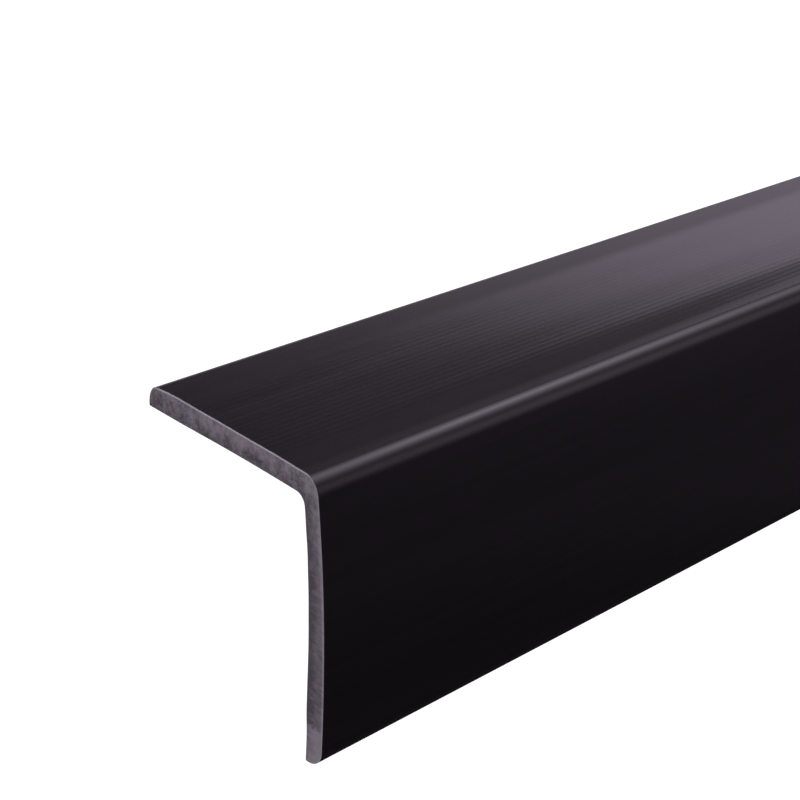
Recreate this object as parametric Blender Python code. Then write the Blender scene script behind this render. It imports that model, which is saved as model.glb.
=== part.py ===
"""Edge-protection angle: one straight extruded L section in rigid PVC.

Frame: +X runs along the extrusion, +Z is up, -Y is the way the outer face of
the hanging leg looks.  The origin is the middle of the seat, the flat
underside of the top leg, which is glued or laid on the edge to be covered.
All lengths are in metres.
"""

import math

import bpy

# ---------------------------------------------------------------- dimensions
LENGTH = 1.000            # sawn to length, square to the extrusion
TOP_WIDTH = 0.042         # top leg, outer heel to tip
DROP = 0.050              # hanging leg, outer heel to tip
WALL = 0.0038             # both legs
HEEL_RADIUS = 0.0036      # outside of the corner
ROOT_RADIUS = 0.0015      # inside of the corner
TOP_TIP_OUTER = 0.0025    # round on the top leg's tip, upper side
TOP_TIP_INNER = 0.00035   # the same tip, seat side
DROP_TIP_OUTER = 0.0033   # round on the hanging leg's tip, outer side
DROP_TIP_INNER = 0.00035  # the same tip, inner side
DROP_BOW = 0.00075        # the hanging leg bellies outwards by this half way down

HEEL_STEPS = 10
ROOT_STEPS = 5
TIP_STEPS = 6
SMALL_STEPS = 3
BOW_STEPS = 15            # odd, so that the middle facet stands upright

# The seat runs from the root radius to the tip; its middle is the origin.
SEAT_FROM = WALL + ROOT_RADIUS
SEAT_TO = TOP_WIDTH - TOP_TIP_INNER
SEAT_MIDDLE = (SEAT_FROM + SEAT_TO) / 2.0


def arc(cy, cz, radius, start, end, steps):
    """Points on a round, both ends included; angles in degrees."""
    points = []
    for i in range(steps + 1):
        a = math.radians(start + (end - start) * i / steps)
        points.append((cy + radius * math.cos(a), cz + radius * math.sin(a)))
    return points


def ladder(y, z_from, z_to, steps):
    """Points between two heights on an upright face, ends left out."""
    return [(y, z_from + (z_to - z_from) * i / steps) for i in range(1, steps)]


def bowed(y, z):
    """Moves a point of the hanging leg outwards by its share of the belly."""
    share = min(1.0, max(0.0, (-z - WALL) / (DROP - WALL)))
    return y - 4.0 * DROP_BOW * share * (1.0 - share), z


def section():
    """The L outline in (y, z), heel corner at (0, 0), clockwise from the heel."""
    points = []
    # top face, then the tip of the top leg
    points += arc(TOP_WIDTH - TOP_TIP_OUTER, -TOP_TIP_OUTER,
                  TOP_TIP_OUTER, 90.0, 0.0, TIP_STEPS)
    points += arc(TOP_WIDTH - TOP_TIP_INNER, -WALL + TOP_TIP_INNER,
                  TOP_TIP_INNER, 0.0, -90.0, SMALL_STEPS)
    # seat, then the root of the corner
    points += arc(WALL + ROOT_RADIUS, -WALL - ROOT_RADIUS,
                  ROOT_RADIUS, 90.0, 180.0, ROOT_STEPS)
    # inner face of the hanging leg
    points += ladder(WALL, -WALL - ROOT_RADIUS,
                     -DROP + DROP_TIP_INNER, BOW_STEPS)
    points += arc(WALL - DROP_TIP_INNER, -DROP + DROP_TIP_INNER,
                  DROP_TIP_INNER, 0.0, -90.0, SMALL_STEPS)
    points += arc(DROP_TIP_OUTER, -DROP + DROP_TIP_OUTER,
                  DROP_TIP_OUTER, -90.0, -180.0, TIP_STEPS)
    # outer face of the hanging leg, back up to the heel
    points += ladder(0.0, -DROP + DROP_TIP_OUTER, -HEEL_RADIUS, BOW_STEPS)
    points += arc(HEEL_RADIUS, -HEEL_RADIUS,
                  HEEL_RADIUS, 180.0, 90.0, HEEL_STEPS)
    return [bowed(y, z) for y, z in points]


def rigid_pvc(name):
    """Black rigid PVC, glossy from the die."""
    material = bpy.data.materials.new(name)
    material.use_nodes = True
    shader = material.node_tree.nodes["Principled BSDF"]
    shader.inputs["Base Color"].default_value = (0.0075, 0.0062, 0.0080, 1.0)
    shader.inputs["Roughness"].default_value = 0.24
    shader.inputs["Metallic"].default_value = 0.0
    shader.inputs["IOR"].default_value = 1.53
    material.diffuse_color = (0.0075, 0.0062, 0.0080, 1.0)
    return material


def extrusion(name, outline, length, collection):
    """A closed outline in (y, z) run along X, half the length each way."""
    curve = bpy.data.curves.new(name, "CURVE")
    curve.dimensions = "2D"
    curve.fill_mode = "BOTH"
    curve.extrude = length / 2.0
    spline = curve.splines.new("POLY")
    spline.points.add(len(outline) - 1)
    for point, (y, z) in zip(spline.points, outline):
        point.co = (y, z, 0.0, 1.0)
    spline.use_cyclic_u = True
    spline.use_smooth = False
    piece = bpy.data.objects.new(name, curve)
    # local X lies along world Y, local Y along world Z, local Z along world X
    piece.rotation_euler = (math.radians(90.0), 0.0, math.radians(90.0))
    piece.location = (0.0, -SEAT_MIDDLE, WALL)
    collection.objects.link(piece)
    return piece


def main():
    for old in list(bpy.data.objects):
        bpy.data.objects.remove(old, do_unlink=True)

    collection = bpy.data.collections.new("edge_protection_angle")
    bpy.context.scene.collection.children.link(collection)

    profile = extrusion("angle_profile", section(), LENGTH, collection)
    profile.data.materials.append(rigid_pvc("black_rigid_pvc"))


main()
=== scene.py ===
"""Looks of the edge-protection angle: a black rigid PVC extrusion, sawn to length.

The strip is one piece.  Its fine mesh is lofted here from the same L section
as the CAD solid, with what the die and the saw leave on the real thing: the
slight belly of the hanging leg, the fine flutes along the top face, softened
saw arrises and an uneven sawn face.
"""

import math

import bpy
import numpy as np
from mathutils import Matrix, Vector


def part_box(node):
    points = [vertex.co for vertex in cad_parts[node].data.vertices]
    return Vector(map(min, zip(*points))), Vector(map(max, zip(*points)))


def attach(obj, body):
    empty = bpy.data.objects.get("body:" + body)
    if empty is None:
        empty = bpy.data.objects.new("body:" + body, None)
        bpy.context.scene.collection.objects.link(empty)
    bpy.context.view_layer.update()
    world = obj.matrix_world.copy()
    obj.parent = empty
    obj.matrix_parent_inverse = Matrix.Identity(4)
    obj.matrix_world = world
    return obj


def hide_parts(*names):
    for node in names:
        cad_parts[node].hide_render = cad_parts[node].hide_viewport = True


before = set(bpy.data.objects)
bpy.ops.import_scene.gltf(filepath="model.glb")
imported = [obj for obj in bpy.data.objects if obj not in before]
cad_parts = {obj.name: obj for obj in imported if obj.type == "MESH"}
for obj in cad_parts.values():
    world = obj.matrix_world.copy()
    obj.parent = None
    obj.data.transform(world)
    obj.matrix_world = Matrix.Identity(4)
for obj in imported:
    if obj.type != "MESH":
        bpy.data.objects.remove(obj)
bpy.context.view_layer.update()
lo, hi = (Vector(c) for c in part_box("angle_profile"))
MM = 0.001

# ------------------------------------------------------------ section, in mm
# y from the outer face of the hanging leg, z from the outer face of the top leg
TOP_WIDTH = 42.0
WALL = 3.8
DROP = (hi.z - lo.z) / MM
HEEL_RADIUS = 3.6
ROOT_RADIUS = 1.5
TOP_TIP_OUTER, TOP_TIP_DEEP = 2.3, 3.35    # across and down
TOP_TIP_INNER = 0.25
DROP_TIP_OUTER = 3.3
DROP_TIP_INNER = 0.14
DROP_BOW = 0.75           # belly of the hanging leg
FOOT_SAG = 0.12           # the tip of the hanging leg hangs a touch lower
TOP_BOW = 0.20            # crown of the top leg
BURR = [(0, 0.08), (4, 0.16), (12, 0.23), (19, 0.27), (23, 0.33), (28, 0.33), (37, 0.27), (39.6, 0.04), (42, 0.0)]
ARRIS = 0.075             # round that the saw and a wipe leave on the cut edge

# The corner turns from the top face (at HEEL_START from the front, sunk by
# HEEL_SINK) to the hanging leg, quickly at first and then more gently.
HEEL_START, HEEL_SINK = 2.85, -0.12
HEEL_TURN, HEEL_BIAS, HEEL_PATH = 84.0, 1.525, 4.032

# How the top face leans across its width, as (y in mm, slope): a shallow hollow
# beside the corner and a lip along the tip.
LEAN = [(2.85, -0.001), (3.6, 0.006), (4.5, 0.013), (5.5, 0.0185), (6.5, 0.0225), (7.5, 0.0240),
        (8.5, 0.0220), (9.5, 0.0135), (10.5, 0.0060), (12.0, -0.0009), (14.0, -0.0012), (17.0, 0.0002),
        (20.0, -0.0022), (24.0, -0.0015), (28.0, 0.0016), (31.0, 0.0022), (33.2, 0.0032),
        (34.2, 0.0035), (36.5, 0.0035), (39.0, 0.0040), (42.0, 0.000)]

# Fine flutes along the top face
FLUTE_PITCH = 1.25
FLUTE_FIRST, FLUTE_LAST = 4.95, 28.7
FLUTE_DEPTH = 0.0011      # half of trough to crest

Y_FRONT = hi.y - TOP_WIDTH * MM          # outer face of the hanging leg, unbowed
Z_TOP = hi.z


def smooth(a, b, x):
    t = np.clip((np.asarray(x, float) - a) / (b - a), 0.0, 1.0)
    return t * t * (3.0 - 2.0 * t)


def run(a, b, n):
    """n points on a straight stretch, the last one left out."""
    a, b = np.array(a, float), np.array(b, float)
    return a + (b - a) * (np.arange(n) / n)[:, None]


def arc(cy, cz, r, a0, a1, n):
    """n points on a round, the last one left out."""
    a = np.radians(a0 + (a1 - a0) * np.arange(n) / n)
    return np.stack([cy + r * np.cos(a), cz + r * np.sin(a)], 1)


def evenly(points, n):
    """n points at equal steps along a polyline, the last one left out."""
    d = np.hypot(*np.diff(points, axis=0).T)
    s = np.concatenate([[0.0], np.cumsum(d)])
    t = s[-1] * np.arange(n) / n
    return np.stack([np.interp(t, s, points[:, 0]), np.interp(t, s, points[:, 1])], 1)


def section():
    """Outer and inner path from the tip of the top leg to the tip of the hanging
    leg, with as many points each, so that opposite points face each other
    across the wall."""
    W, t, H = TOP_WIDTH, WALL, DROP
    tip_z = -(TOP_TIP_DEEP + t - TOP_TIP_INNER) / 2
    tip_y = (DROP_TIP_OUTER + t - DROP_TIP_INNER) / 2
    c = t + ROOT_RADIUS
    end = W - TOP_TIP_OUTER
    low = -H + DROP_TIP_OUTER
    n_tip, n_leg, n_corner, n_drop, n_foot = 26, 342, 72, 168, 30
    # the tip of the top leg
    oval = arc(0, 0, 1, 0, 90, n_tip - 3) * (TOP_TIP_OUTER, TOP_TIP_DEEP)
    o = np.concatenate([run((W, tip_z), (W, -TOP_TIP_DEEP), 3), oval + (end, -TOP_TIP_DEEP)])
    i = evenly(np.concatenate([run((W, tip_z), (W, -t + TOP_TIP_INNER), 4),
                               arc(W - TOP_TIP_INNER, -t + TOP_TIP_INNER, TOP_TIP_INNER, 0, -90, 12),
                               run((W - TOP_TIP_INNER, -t), (end, -t), 20), [(end, -t)]]), n_tip)
    # the flat of the top leg
    o = np.concatenate([o, run((end, 0), (c, 0), n_leg)])
    i = np.concatenate([i, run((end, -t), (c, -t), n_leg)])
    # the corner
    u = np.linspace(0, 1, 200)
    turn = np.radians(HEEL_TURN * (HEEL_BIAS * u - (HEEL_BIAS - 1) * u * u))
    step = HEEL_PATH / 199
    along = np.concatenate([[0], np.cumsum((np.cos(turn)[1:] + np.cos(turn)[:-1]) / 2 * step)])
    down = np.concatenate([[0], np.cumsum((np.sin(turn)[1:] + np.sin(turn)[:-1]) / 2 * step)])
    heel = np.stack([HEEL_START - along, HEEL_SINK - down], 1)
    flat = np.linspace(c, HEEL_START, 24)[:-1]
    drop = np.linspace(heel[-1, 1], -c, 24)[1:]
    heel = np.concatenate([np.stack([flat, top_height(flat)], 1), heel,
                           np.stack([front_line(drop), drop], 1)])
    o[:, 1] += top_height(o[:, 0]) * smooth(-TOP_TIP_DEEP, 0, o[:, 1])
    o = np.concatenate([o, evenly(heel, n_corner)])
    i = np.concatenate([i, arc(c, -c, ROOT_RADIUS, 90, 180, n_corner)])
    # the hanging leg
    leg = run((0, -c), (0, low), n_drop)
    leg[:, 0] = front_line(leg[:, 1])
    o = np.concatenate([o, leg])
    i = np.concatenate([i, run((t, -c), (t, low), n_drop)])
    # its tip
    o = np.concatenate([o, arc(DROP_TIP_OUTER, low, DROP_TIP_OUTER, 180, 270, n_foot - 2),
                        run((DROP_TIP_OUTER, -H), (tip_y, -H), 2), [(tip_y, -H)]])
    i = np.concatenate([i, evenly(np.concatenate([
        run((t, low), (t, -H + DROP_TIP_INNER), 20),
        arc(t - DROP_TIP_INNER, -H + DROP_TIP_INNER, DROP_TIP_INNER, 0, -90, 12),
        run((t - DROP_TIP_INNER, -H), (tip_y, -H), 4), [(tip_y, -H)]]), n_foot), [(tip_y, -H)]])
    return o, i


# How far the walls stray from even thickness, in mm: a die never fills quite
# evenly.  Keys are the depth below the top for the hanging leg, the distance from
# the front for the top leg.
HEEL_FOOT = 0.47
INNER_IN = [(0, 0.0), (4.5, -0.10), (6.5, -0.19), (9, -0.22), (12, -0.33), (16, -0.32), (20, -0.32),
            (24, -0.25), (28, -0.20), (31, -0.12), (35, 0.00), (38, 0.06), (41, 0.07), (44, -0.07), (50, -0.14)]
UNDER = [(0, 0.0), (19, -0.01), (24, -0.05), (29, -0.12), (34, -0.14), (38, -0.10), (42, -0.02)]


def eased(x, table):
    """Smooth curve through the (x, value) pairs of a table."""
    at, value = (np.array(c, float) for c in zip(*table))
    slope = np.gradient(value, at)
    x = np.clip(np.asarray(x, float), at[0], at[-1])
    k = np.clip(np.searchsorted(at, x, side="right") - 1, 0, len(at) - 2)
    h = at[k + 1] - at[k]
    t = (x - at[k]) / h
    return ((2 * t ** 3 - 3 * t ** 2 + 1) * value[k] + (t ** 3 - 2 * t ** 2 + t) * h * slope[k]
            + (3 * t ** 2 - 2 * t ** 3) * value[k + 1] + (t ** 3 - t ** 2) * h * slope[k + 1])


def belly(z):
    """How far the hanging leg bulges outwards at the height z."""
    s = np.clip((-z - WALL) / (DROP - WALL), 0, 1)
    return 4 * DROP_BOW * s * (1 - s)


def front_line(z):
    """Outer face of the hanging leg at the height z: it leaves the corner leaning
    outwards and eases into the belly."""
    t = np.clip((-z - 2.92) / (WALL + (DROP - WALL) / 2 - 2.92), 0, 1)
    upper = HEEL_FOOT - (HEEL_FOOT + DROP_BOW) * (2 * t - t * t)
    return np.where(t < 1, upper, -belly(z))


def shaped(outer, inner):
    """The belly of the hanging leg, the crown of the top leg and the uneven walls
    on what section() leaves straight: the foot and the inner path."""
    y, z = outer[:, 0], outer[:, 1]
    foot = z < -DROP + DROP_TIP_OUTER + 1e-6
    outer[foot, 0] += -belly(z[foot])
    y, z = inner[:, 0].copy(), inner[:, 1].copy()
    k = np.clip((y - WALL) / (TOP_WIDTH - WALL), 0, 1)
    hang = smooth(WALL + 0.2, WALL + 2.0, -z)
    inner[:, 0] += -belly(z) + eased(-z, INNER_IN) * hang
    inner[:, 1] += 4 * TOP_BOW * k * (1 - k) + eased(y, UNDER) * (1 - hang)
    for path in (outer, inner):
        path[:, 1] -= FOOT_SAG * smooth(DROP - 9, DROP - 0.5, -path[:, 1])
    inner[-1] = outer[-1]
    inner[0] = outer[0]
    return outer, inner


def swell(y, x):
    """Height in mm of the fine flutes on the top face at y, for the stations x
    (mm from the near end)."""
    y = np.asarray(y, float)[None, :]
    x = np.asarray(x, float)[:, None]
    on = smooth(FLUTE_FIRST - 1.2, FLUTE_FIRST + 0.6, y) * (1 - smooth(FLUTE_LAST, FLUTE_LAST + 2.0, y))
    wander = 0.92 + 0.08 * np.sin(x / 61.0 + 0.35 * y) * np.sin(x / 143.0 + 1.7 + 0.2 * y)
    deep = 0.85 + 0.15 * np.sin(y * 2.1 + 1.0) * np.sin(y * 0.83 + 0.4)
    deep = deep * (0.20 + 1.15 * (1 - smooth(10.0, 17.0, y)))
    flute = -FLUTE_DEPTH * deep * wander * on * np.cos(2 * np.pi * (y - FLUTE_FIRST) / FLUTE_PITCH - 0.27)
    return flute


def top_height(y):
    """Height of the top face over its nominal plane, from its lean, in mm."""
    g = np.linspace(HEEL_START, TOP_WIDTH, 1601)
    lean = eased(g, LEAN)
    h = HEEL_SINK + np.concatenate([[0], np.cumsum((lean[1:] + lean[:-1]) / 2 * np.diff(g))])
    return np.interp(y, g, h)


def normals(loop):
    """Outward normals of a closed loop that runs clockwise in (y, z)."""
    d = np.roll(loop, -1, 0) - np.roll(loop, 1, 0)
    n = np.stack([-d[:, 1], d[:, 0]], 1)
    return n / np.linalg.norm(n, axis=1)[:, None]


def build_strip():
    outer, inner = shaped(*section())
    m = len(outer)
    loop = np.concatenate([outer, inner[-2:0:-1]])            # closed, tips shared
    # clockwise seen from +X when the shoelace area is negative
    area = 0.5 * np.sum(loop[:, 0] * np.roll(loop[:, 1], -1) - np.roll(loop[:, 0], -1) * loop[:, 1])
    nrm = normals(loop) * (1 if area < 0 else -1)
    n_loop = len(loop)
    length = (hi.x - lo.x) / MM
    ends = ARRIS + np.array([0.0, 0.05, 0.16, 0.22, 1.5, 9.0])
    stations = np.concatenate([ends, np.linspace(0, length, 36)[1:-1], length - ends[::-1]])
    # height of the top face: only points on the outer path that lie on the flat
    on_top = np.zeros(n_loop, bool)
    on_top[:m] = (loop[:m, 1] > -0.5) & (loop[:m, 0] > HEEL_START) & (loop[:m, 0] < TOP_WIDTH - TOP_TIP_OUTER)
    lift = np.zeros((len(stations), n_loop))
    lift[:, on_top] = swell(loop[on_top, 0], stations)
    # the saw drags a thin burr up along the top arris of both ends
    burr = np.zeros(n_loop)
    yy = loop[:m, 0]
    burr[:m] = eased(yy, BURR) * (loop[:m, 1] > -1.2) * smooth(HEEL_START - 1.4, HEEL_START + 0.4, yy)
    burr[:m] *= 1 + 0.06 * np.sin(yy * 3.1) * np.sin(yy * 1.23 + 1) + 0.03 * np.sin(yy * 7.3 + 2)
    share = np.zeros(len(stations))
    share[[0, 1, -2, -1]] = 1.0
    lift += share[:, None] * burr

    verts, across, arris, along = [], [], [], []
    # way round the section from the tip of the top leg, and how pale the arris is
    # painted: a bright line along the top leg, next to none further on, partly saw whitening, partly a painted
    # highlight where the top edge catches the light
    mid = (loop[:m] + np.concatenate([loop[:1], loop[:m - 1:-1], loop[m - 1:m]])) / 2
    way = np.concatenate([[0], np.cumsum(np.hypot(*np.diff(mid, axis=0).T))])
    way_round = np.concatenate([way, way[-2:0:-1]])
    top_end = way[np.argmin(np.abs(loop[:m, 0] - HEEL_START) + 10 * (loop[:m, 1] < -0.5))]
    arris_whitening_and_highlight = np.where(np.arange(n_loop) < m, 1 - 0.82 * smooth(top_end - 0.5, top_end + 1.2, way_round), 0.12)
    arris_whitening_and_highlight[:m] *= smooth(1.6, 3.4, way)
    print("section path", round(float(way[-1]), 2), "corner at", round(float(top_end), 2))

    def ring(x, pts, ac, ar):
        start = len(verts)
        for y, z in pts:
            verts.append((lo.x + x * MM, Y_FRONT + y * MM, Z_TOP + z * MM))
        across.extend(ac)
        arris.extend(ar * arris_whitening_and_highlight)
        along.extend(way_round)
        return start

    side = np.where(np.arange(n_loop) < m, 0.0, 1.0)
    rings = []
    steps = 4
    for j in range(steps, 0, -1):                              # near arris
        b = math.pi / 2 * j / steps
        pts = loop + np.stack([np.zeros(n_loop), lift[0]], 1) - nrm * ARRIS * (1 - math.cos(b))
        rings.append(ring(ARRIS * (1 - math.sin(b)), pts, side, 1.0))
    for k, x in enumerate(stations):
        pts = loop + np.stack([np.zeros(n_loop), lift[k]], 1)
        rings.append(ring(x, pts, side, 0.0))
    for j in range(1, steps + 1):                              # far arris
        b = math.pi / 2 * j / steps
        pts = loop + np.stack([np.zeros(n_loop), lift[-1]], 1) - nrm * ARRIS * (1 - math.cos(b))
        rings.append(ring(length - ARRIS * (1 - math.sin(b)), pts, side, 1.0))

    faces, slots = [], []
    idx = np.arange(n_loop)
    nxt = np.roll(idx, -1)
    for r, (a, b) in enumerate(zip(rings[:-1], rings[1:])):
        cut = r < steps - 1 or r >= len(rings) - steps
        for p, q in zip(idx, nxt):
            faces.append((a + p, b + p, b + q, a + q))
            slots.append(1 if cut else 0)

    # sawn faces: a grid across the wall, uneven by a few hundredths
    rng = np.random.default_rng(7)
    columns = (0.035, 0.075, 0.13, 0.21, 0.32, 0.44, 0.56, 0.68, 0.79, 0.88, 0.95)

    def cap(first, x_face, sign):
        base = rings[0] if first else rings[-1]
        v = np.array(verts[base:base + n_loop])
        o_i = base + np.arange(m)
        i_i = np.array([base] + [base + n_loop - k for k in range(1, m - 1)] + [base + m - 1])
        o_p, i_p = v[o_i - base], v[i_i - base]
        u = np.concatenate([[0], np.cumsum(np.linalg.norm(np.diff((o_p + i_p) / 2, axis=0), axis=1))]) / MM
        cols = [o_i]
        ph = rng.uniform(0, 6.28, 12)
        for w in columns:
            mid = o_p[1:-1] * (1 - w) + i_p[1:-1] * w
            edge = min(w, 1 - w) * WALL
            depth = 0.012 * np.sin(u[1:-1] / 0.9 + ph[0] + 1.3 * w) + 0.010 * np.sin(u[1:-1] / 0.37 + ph[1] + 4 * w) \
                + 0.010 * np.sin(u[1:-1] / 2.7 + ph[2] - 3 * w) + 0.006 * rng.standard_normal(m - 2)
            depth = depth * min(1.0, edge / 0.8)
            start = len(verts)
            for p, d in zip(mid, depth):
                verts.append((x_face + sign * (0.0 - abs(d)) * MM, p[1], p[2]))
            across.extend([w] * (m - 2))
            # the outer column takes part of the pale arris line, partly a painted highlight
            arris.extend(arris_whitening_and_highlight[1:m - 1] * (0.45 if w < 0.04 else 0.0))
            along.extend(way[1:m - 1])
            cols.append(np.concatenate([[o_i[0]], np.arange(start, start + m - 2), [o_i[-1]]]))
        cols.append(i_i)
        for a, b in zip(cols[:-1], cols[1:]):
            for k in range(m - 1):
                quad = [a[k], a[k + 1], b[k + 1], b[k]]
                quad = [q for n, q in enumerate(quad) if q != quad[n - 1]]
                faces.append(tuple(quad) if not first else tuple(reversed(quad)))
                slots.append(1)

    cap(True, lo.x, -1.0)
    cap(False, hi.x, 1.0)

    me = bpy.data.meshes.new("edge_angle_strip")
    me.from_pydata(verts, [], faces)
    me.update()
    me.polygons.foreach_set("material_index", slots)
    me.polygons.foreach_set("use_smooth", [True] * len(faces))
    for name, values in (("across", across), ("arris", arris), ("along", along)):
        att = me.attributes.new(name, "FLOAT", "POINT")
        att.data.foreach_set("value", np.asarray(values, np.float32))
    # outward faces
    import bmesh
    bm = bmesh.new()
    bm.from_mesh(me)
    bmesh.ops.recalc_face_normals(bm, faces=bm.faces)
    if bm.calc_volume(signed=True) < 0:
        bmesh.ops.reverse_faces(bm, faces=bm.faces)
    open_edges = sum(1 for e in bm.edges if len(e.link_faces) != 2)
    print("strip:", len(bm.verts), "verts", len(bm.faces), "faces, open edges", open_edges,
          "volume l", round(bm.calc_volume() * 1000, 4))
    bm.to_mesh(me)
    bm.free()
    ob = bpy.data.objects.new("edge_angle_strip", me)
    bpy.context.scene.collection.objects.link(ob)
    return ob


# ------------------------------------------------------------------ materials
class Tree:
    """Small helper for building node trees."""

    def __init__(self, tree):
        self.t = tree

    def node(self, kind, **values):
        n = self.t.nodes.new(kind)
        for k, v in values.items():
            if hasattr(n, k):
                setattr(n, k, v)
            else:
                n.inputs[k].default_value = v
        return n

    def link(self, a, b):
        self.t.links.new(a, b)
        return b

    def put(self, socket, value):
        if isinstance(value, bpy.types.NodeSocket):
            self.t.links.new(value, socket)
        else:
            socket.default_value = value

    def math(self, op, a, b=None, c=None, clamp=False):
        n = self.t.nodes.new("ShaderNodeMath")
        n.operation = op
        n.use_clamp = clamp
        for s, v in zip(n.inputs, (a, b, c)):
            if v is not None:
                self.put(s, v)
        return n.outputs[0]

    def vmath(self, op, a, b=None):
        n = self.t.nodes.new("ShaderNodeVectorMath")
        n.operation = op
        self.put(n.inputs[0], a)
        if b is not None:
            self.put(n.inputs[1], b)
        return n.outputs["Value"] if op in ("DOT_PRODUCT", "LENGTH") else n.outputs["Vector"]

    def ramp(self, value, a, b, to_a=0.0, to_b=1.0, how="SMOOTHSTEP"):
        n = self.t.nodes.new("ShaderNodeMapRange")
        n.interpolation_type = how
        self.put(n.inputs["Value"], value)
        self.put(n.inputs["From Min"], a)
        self.put(n.inputs["From Max"], b)
        self.put(n.inputs["To Min"], to_a)
        self.put(n.inputs["To Max"], to_b)
        return n.outputs["Result"]

    def mix(self, factor, a, b, how="MIX"):
        n = self.t.nodes.new("ShaderNodeMix")
        n.data_type = "RGBA"
        n.blend_type = how
        self.put(n.inputs[0], factor)
        self.put(n.inputs[6], a)
        self.put(n.inputs[7], b)
        return n.outputs[2]

    def noise(self, vector, scale, detail=3.0, rough=0.5, distortion=0.0):
        n = self.t.nodes.new("ShaderNodeTexNoise")
        self.put(n.inputs["Vector"], vector)
        n.inputs["Scale"].default_value = scale
        n.inputs["Detail"].default_value = detail
        n.inputs["Roughness"].default_value = rough
        n.inputs["Distortion"].default_value = distortion
        return n.outputs["Fac"]

    def stretched(self, vector, scale):
        n = self.t.nodes.new("ShaderNodeMapping")
        self.put(n.inputs["Vector"], vector)
        n.inputs["Scale"].default_value = scale
        return n.outputs["Vector"]

    def bump(self, height, distance, strength=1.0, normal=None):
        n = self.t.nodes.new("ShaderNodeBump")
        n.inputs["Strength"].default_value = strength
        n.inputs["Distance"].default_value = distance
        self.put(n.inputs["Height"], height)
        if normal is not None:
            self.put(n.inputs["Normal"], normal)
        return n.outputs["Normal"]


def new_material(name):
    m = bpy.data.materials.new(name)
    m.use_nodes = True
    t = Tree(m.node_tree)
    shader = m.node_tree.nodes["Principled BSDF"]
    where = m.node_tree.nodes.new("ShaderNodeTexCoord").outputs["Object"]
    mm = t.stretched(where, (1000.0, 1000.0, 1000.0))          # millimetres
    return m, t, shader, mm


def pvc_skin():
    """The skin from the die: near black with a faint violet cast, glossy with a
    little haze, and drawn along the extrusion."""
    m, t, s, mm = new_material("pvc_skin")
    drawn = t.stretched(mm, (0.006, 1.0, 1.0))                 # long streaks
    streak = t.noise(drawn, 2.3, 4.0, 0.6)
    broad = t.noise(t.stretched(mm, (0.012, 0.10, 0.10)), 1.0, 2.0, 0.5)
    grain = t.noise(t.stretched(mm, (0.5, 1.0, 1.0)), 6.0, 2.0, 0.6)
    colour = t.mix(t.ramp(streak, 0.3, 0.7), (0.0052, 0.0040, 0.0056, 1), (0.0072, 0.0056, 0.0077, 1))
    t.put(s.inputs["Base Color"], colour)
    rough = t.math("ADD", t.ramp(broad, 0.3, 0.7, 0.088, 0.112), t.ramp(streak, 0.2, 0.8, -0.008, 0.010))
    rough = t.math("ADD", rough, t.ramp(grain, 0.3, 0.7, -0.008, 0.008))
    # on the top face the lip beside the corner is worn hazy, and the strip beside
    # the tip left the die a little duller
    sep = m.node_tree.nodes.new("ShaderNodeSeparateXYZ")
    t.put(sep.inputs[0], mm)
    from_front = t.math("SUBTRACT", sep.outputs["Y"], Y_FRONT / MM)
    on_top = t.ramp(sep.outputs["Z"], 2.6, 3.5)
    lip = t.math("MULTIPLY", t.ramp(from_front, 2.2, 2.8), t.ramp(from_front, 3.9, 5.4, 1.0, 0.0))
    lip = t.math("MULTIPLY", lip, on_top)
    rough = t.math("ADD", rough, t.math("MULTIPLY", lip, 0.09))
    dull = t.math("MULTIPLY", t.ramp(from_front, 31.6, 36.2), on_top)
    t.put(s.inputs["Roughness"], t.math("ADD", rough, t.math("MULTIPLY", dull, 0.04)))
    level = t.math("SUBTRACT", t.ramp(dull, 0.0, 1.0, 0.5, 0.25), t.math("MULTIPLY", lip, 0.05))
    level = t.math("SUBTRACT", level, t.ramp(from_front, 39.2, 40.4, 0.0, 0.15))
    # the crests of the flutes are polished a little by the die
    turn = t.math("MULTIPLY_ADD", from_front, 2 * math.pi / FLUTE_PITCH, 2.35)
    crest = t.math("MULTIPLY", t.math("COSINE", turn), t.ramp(streak, 0.2, 0.8, 0.070, 0.125))
    crest = t.math("MULTIPLY", crest, t.ramp(from_front, 8.5, 10.5))
    crest = t.math("MULTIPLY", crest, t.ramp(sep.outputs["X"], lo.x / MM + 35, lo.x / MM + 105, 1.0, 0.25))
    crest = t.math("MULTIPLY", crest, t.ramp(from_front, 29.5, 33.0, 1.0, 0.0))
    level = t.math("ADD", level, t.math("MULTIPLY", crest, on_top))
    t.put(s.inputs["Specular IOR Level"], level)
    s.inputs["IOR"].default_value = 1.53
    fine = t.noise(drawn, 5.0, 3.0, 0.65)
    n = t.bump(fine, 0.0000035, 1.0)
    n = t.bump(t.noise(t.stretched(mm, (0.35, 1.0, 1.0)), 2.2, 3.0, 0.6), 0.000001, 1.0, n)
    t.put(s.inputs["Normal"], n)
    return m


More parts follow.
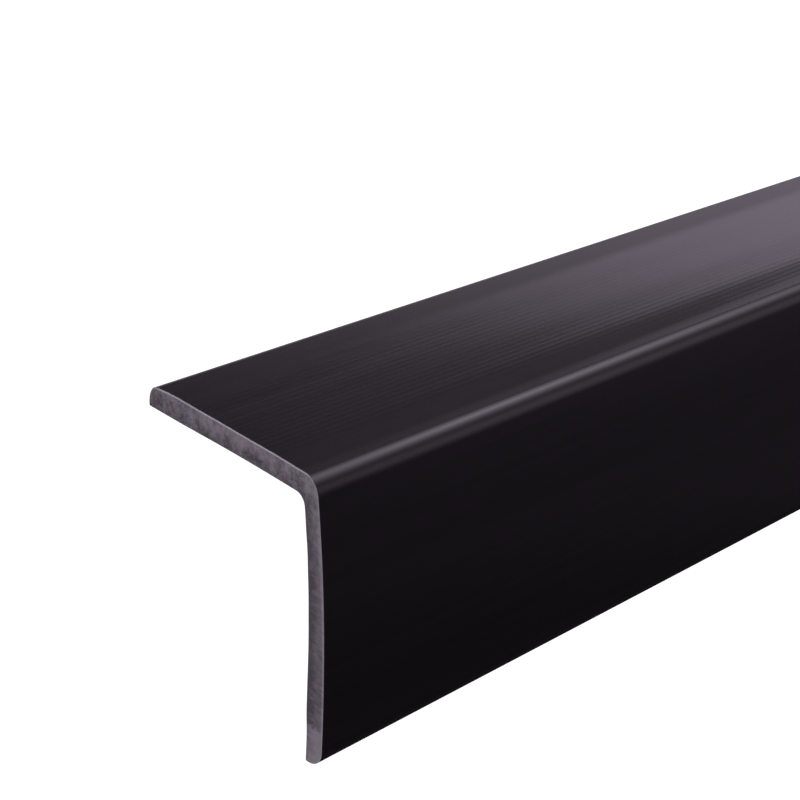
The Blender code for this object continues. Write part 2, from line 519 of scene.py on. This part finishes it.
def pvc_sawn():
    """The cut: the saw tears and whitens the black plastic into a matt, mottled
    grey, darker towards the inner edge and down the hanging leg, paler where the
    blade broke out at the foot, with a pale line on the top arris that is partly
    saw whitening and partly a painted highlight."""
    m, t, s, mm = new_material("pvc_sawn")

    def read(name):
        n = t.node("ShaderNodeAttribute")
        n.attribute_name = name
        return n.outputs["Fac"]

    across, arris, along = read("across"), read("arris"), read("along")
    plane = t.stretched(mm, (0.25, 1.0, 1.0))
    cloud = t.noise(plane, 0.42, 2.0, 0.5, 0.3)
    patch = t.noise(plane, 1.15, 3.0, 0.55, 0.5)
    speck = t.noise(plane, 4.2, 2.0, 0.75)
    streak = t.noise(t.stretched(mm, (0.2, 0.22, 1.3)), 1.2, 3.0, 0.6)
    tint = t.noise(t.stretched(mm, (0.2, 1.0, 0.8)), 0.75, 2.0, 0.6, 0.4)
    rosy = t.noise(t.stretched(mm, (0.2, 0.9, 0.9)), 0.6, 1.0, 0.5, 0.2)
    hang = t.ramp(along, 38.0, 52.0)
    tone = t.math("ADD", t.ramp(cloud, 0.3, 0.7, -0.22, 0.22), t.ramp(patch, 0.28, 0.72, -0.30, 0.30))
    tone = t.math("MULTIPLY", tone, t.ramp(hang, 0.0, 1.0, 1.0, 0.45))
    fleck = t.math("MULTIPLY", t.ramp(speck, 0.28, 0.72, -0.36, 0.36), t.ramp(across, 0.15, 0.75, 0.45, 1.0))
    fleck = t.math("MULTIPLY", fleck, t.ramp(hang, 0.0, 1.0, 1.0, 0.40))
    tone = t.math("ADD", tone, fleck)
    tone = t.math("ADD", tone, t.math("MULTIPLY", t.ramp(streak, 0.3, 0.7, -0.14, 0.14), hang))
    tone = t.math("ADD", tone, t.ramp(across, 0.25, 1.0, 0.14, -0.34))
    tone = t.math("ADD", tone, t.math("MULTIPLY", hang, -0.22))
    # pale stripe along the outer edge of the hanging leg, wide at the corner
    width = t.ramp(along, 40.0, 72.0, 0.30, 0.12)
    stripe = t.math("SUBTRACT", 1.0, t.ramp(t.math("DIVIDE", across, width), 0.55, 1.05))
    stripe = t.math("MULTIPLY", stripe, t.ramp(along, 40.0, 46.0))
    tone = t.math("ADD", tone, t.math("MULTIPLY", stripe, 0.42))
    # where the blade broke out: a slanting border, paler below
    slant = t.math("ADD", along, t.math("MULTIPLY", across, 0.55))
    slant = t.math("ADD", slant, t.ramp(patch, 0.3, 0.7, -0.35, 0.35))
    below = t.ramp(slant, 80.5, 81.7)
    tone = t.math("ADD", tone, t.math("MULTIPLY", below, 0.70))
    line = t.math("MULTIPLY", t.ramp(slant, 79.8, 80.6), t.math("SUBTRACT", 1.0, t.ramp(slant, 80.7, 81.2)))
    tone = t.math("ADD", tone, t.math("MULTIPLY", line, -0.14))
    tone = t.math("ADD", tone, t.math("ADD", t.ramp(along, 0.0, 9.0, -0.16, 0.0), t.ramp(along, 66.0, 76.0, 0.0, -0.07)))
    tone = t.math("ADD", tone, 0.52, clamp=True)
    violet = t.mix(tone, (0.056, 0.045, 0.064, 1), (0.194, 0.162, 0.208, 1))
    grey = t.mix(tone, (0.052, 0.050, 0.054, 1), (0.178, 0.168, 0.178, 1))
    rose = t.mix(tone, (0.066, 0.049, 0.063, 1), (0.208, 0.160, 0.200, 1))
    colour = t.mix(t.ramp(tint, 0.42, 0.60), violet, grey)
    colour = t.mix(t.ramp(rosy, 0.50, 0.64), colour, rose)
    colour = t.mix(t.math("MULTIPLY", below, 0.3), colour, grey)
    # pale line on the top arris: partly saw whitening, partly a painted highlight where the edge catches the light
    colour = t.mix(t.math("MULTIPLY", arris, 0.9), colour, (0.50, 0.47, 0.52, 1))
    t.put(s.inputs["Base Color"], colour)
    t.put(s.inputs["Roughness"], t.ramp(patch, 0.3, 0.7, 0.62, 0.80))
    s.inputs["IOR"].default_value = 1.53
    saw = t.noise(t.stretched(mm, (0.2, 0.35, 1.6)), 2.6, 2.0, 0.5)
    n = t.bump(saw, 0.000020, 0.7)
    n = t.bump(speck, 0.000030, 0.7, n)
    t.put(s.inputs["Normal"], n)
    return m


# --------------------------------------------------------------------- studio
def white_floor():
    me = bpy.data.meshes.new("studio_floor")
    h = 6.0
    me.from_pydata([(-h, -h, 0), (h, -h, 0), (h, h, 0), (-h, h, 0)], [], [(0, 1, 2, 3)])
    ob = bpy.data.objects.new("studio_floor", me)
    ob.location = (0, 0, lo.z - 0.0002)
    m = bpy.data.materials.new("studio_white")
    m.use_nodes = True
    t = m.node_tree
    t.nodes.clear()
    out = t.nodes.new("ShaderNodeOutputMaterial")
    em = t.nodes.new("ShaderNodeEmission")
    em.inputs["Color"].default_value = (1, 1, 1, 1)
    em.inputs["Strength"].default_value = 1.15
    t.links.new(em.outputs[0], out.inputs["Surface"])
    me.materials.append(m)
    bpy.context.scene.collection.objects.link(ob)
    ob.visible_glossy = False
    ob.visible_diffuse = True
    return ob


def heading(az, el):
    """Unit vector at azimuth az from +Y towards +X and elevation el, in degrees."""
    a, e = math.radians(az), math.radians(el)
    return Vector((math.sin(a) * math.cos(e), math.cos(a) * math.cos(e), math.sin(e)))


# Soft lights: centre azimuth and elevation, half width and half height as
# tangents, fall (1 is a bell, lower is more peaked), roll in degrees, brightness
LIGHTS = {
    "overhead": dict(az=97.5, el=49.4, half=(0.236, 0.130), fall=0.571, roll=-7.7, level=2.90),
    "front_fill": dict(az=136.5, el=5.0, half=(0.207, 0.213), fall=1.158, roll=0.5, level=0.595),
    "left": dict(az=-80, el=32, half=(0.45, 0.27), fall=1.3, roll=0.0, level=1.87),
}
GLOW = dict(az=55, width=62.5, edge=22.22, soft=0.98, level=0.73, tilt=0.12, tilt_az=138)
AMBIENT_UP = 0.030
AMBIENT_DOWN = 0.050
AMBIENT_LOW = 0.014       # from steeply below


def studio_world():
    w = bpy.data.worlds.new("studio")
    bpy.context.scene.world = w
    w.use_nodes = True
    nt = w.node_tree
    nt.nodes.clear()
    t = Tree(nt)
    d = nt.nodes.new("ShaderNodeTexCoord").outputs["Generated"]
    sep = nt.nodes.new("ShaderNodeSeparateXYZ")
    t.put(sep.inputs[0], d)
    z = sep.outputs["Z"]
    total = t.ramp(z, math.sin(math.radians(-36)), math.sin(math.radians(-27)), AMBIENT_LOW, AMBIENT_DOWN)
    total = t.math("ADD", total, t.ramp(z, -0.02, 0.05, 0.0, AMBIENT_UP - AMBIENT_DOWN))
    for box in LIGHTS.values():
        f = heading(box["az"], box["el"])
        r = f.cross(Vector((0, 0, 1))).normalized()
        u = r.cross(f)
        c, s = math.cos(math.radians(box["roll"])), math.sin(math.radians(box["roll"]))
        r, u = r * c + u * s, u * c - r * s
        df = t.vmath("DOT_PRODUCT", d, tuple(f))
        safe = t.math("MAXIMUM", df, 0.05)
        off = None
        for axis, h in ((r, box["half"][0]), (u, box["half"][1])):
            q = t.math("DIVIDE", t.vmath("DOT_PRODUCT", d, tuple(axis / h)), safe)
            q = t.math("MULTIPLY", q, q)
            off = q if off is None else t.math("ADD", off, q)
        bell = t.math("EXPONENT", t.math("MULTIPLY", t.math("POWER", off, box["fall"]), -0.5))
        bell = t.math("MULTIPLY", bell, t.ramp(df, 0.05, 0.15))
        total = t.math("ADD", total, t.math("MULTIPLY", bell, box["level"]))
    g = heading(GLOW["az"], 0)
    sideways = heading(GLOW["tilt_az"], 0) * GLOW["tilt"]
    height = t.math("ADD", z, t.vmath("DOT_PRODUCT", d, tuple(sideways)))
    low = t.ramp(height, math.sin(math.radians(GLOW["edge"] - GLOW["soft"])),
                 math.sin(math.radians(GLOW["edge"] + GLOW["soft"])), 1.0, 0.0)
    low = t.math("MULTIPLY", low, t.ramp(z, -0.03, 0.03))
    wide = t.ramp(t.vmath("DOT_PRODUCT", d, tuple(g)), math.cos(math.radians(GLOW["width"] + 12)),
                  math.cos(math.radians(GLOW["width"] - 12)))
    total = t.math("ADD", total, t.math("MULTIPLY", t.math("MULTIPLY", low, wide), GLOW["level"] - AMBIENT_UP))
    lit = t.node("ShaderNodeBackground")
    lit.inputs["Color"].default_value = (1.0, 0.855, 1.05, 1)
    t.put(lit.inputs["Strength"], total)
    seen = t.node("ShaderNodeBackground")
    seen.inputs["Color"].default_value = (1, 1, 1, 1)
    seen.inputs["Strength"].default_value = 1.15
    pick = nt.nodes.new("ShaderNodeMixShader")
    t.put(pick.inputs[0], nt.nodes.new("ShaderNodeLightPath").outputs["Is Camera Ray"])
    nt.links.new(lit.outputs[0], pick.inputs[1])
    nt.links.new(seen.outputs[0], pick.inputs[2])
    out = nt.nodes.new("ShaderNodeOutputWorld")
    nt.links.new(pick.outputs[0], out.inputs["Surface"])
    w.cycles.sampling_method = "MANUAL"
    w.cycles.sample_map_resolution = 2048


def camera():
    """The view of the near sawn end: the camera stands off the near end's outer
    corner, which is the corner of the CAD box at low X, low Y and high Z."""
    cam = bpy.data.cameras.new("view")
    cam.sensor_width = 36.0
    cam.lens = 76.78
    cam.clip_start = 0.01
    cam.clip_end = 60.0
    ob = bpy.data.objects.new("view", cam)
    f = heading(42.556, -25.596)
    r = f.cross(Vector((0, 0, 1))).normalized()
    u = r.cross(f)
    a = math.radians(1.2226)
    r, u = r * math.cos(a) + u * math.sin(a), u * math.cos(a) - r * math.sin(a)
    spot = Vector((lo.x - 0.133778, Y_FRONT - 0.161778, Z_TOP + 0.113283))
    m = Matrix((r, u, -f)).transposed().to_4x4()
    m.translation = spot
    ob.matrix_world = m
    bpy.context.scene.collection.objects.link(ob)
    bpy.context.scene.camera = ob


strip = build_strip()
strip.data.materials.append(pvc_skin())
strip.data.materials.append(pvc_sawn())
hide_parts("angle_profile")
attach(strip, "root")

white_floor()
studio_world()
camera()
view = bpy.context.scene.view_settings
view.view_transform = "Standard"
view.look = "None"
view.exposure = 0.0
view.gamma = 1.0

bpy.context.view_layer.update()
